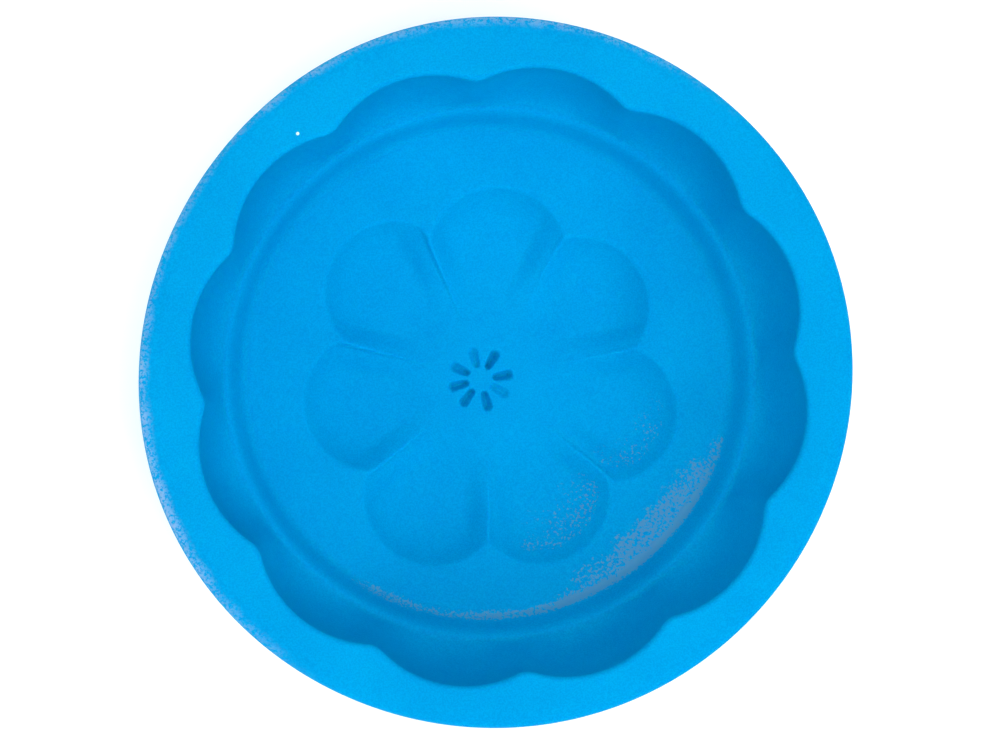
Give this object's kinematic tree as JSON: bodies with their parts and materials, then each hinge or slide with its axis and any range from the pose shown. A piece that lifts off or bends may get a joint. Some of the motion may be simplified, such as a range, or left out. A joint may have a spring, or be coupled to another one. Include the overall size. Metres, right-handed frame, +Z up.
{
  "type": "soap mould",
  "caption": "Round flexible block mould with a scalloped open cavity and a sunken flower, for casting one bar of soap.",
  "frame": {"origin": "centre of the flat base, on the surface that the mould stands on", "axes": "+Z up out of the open cavity, square to the base and the rim; +Y towards the top of the flower as it is looked at from above, +X to its right"},
  "size_m": [0.085, 0.085, 0.03],
  "materials": {
    "face_coat_rubber": "soft satin silicone, cast",
    "backing_rubber": "matte silicone, poured"
  },
  "bodies": {
    "root": {"face_coat": "face_coat_rubber", "backing_block": "backing_rubber"}
  },
  "joints": []
}
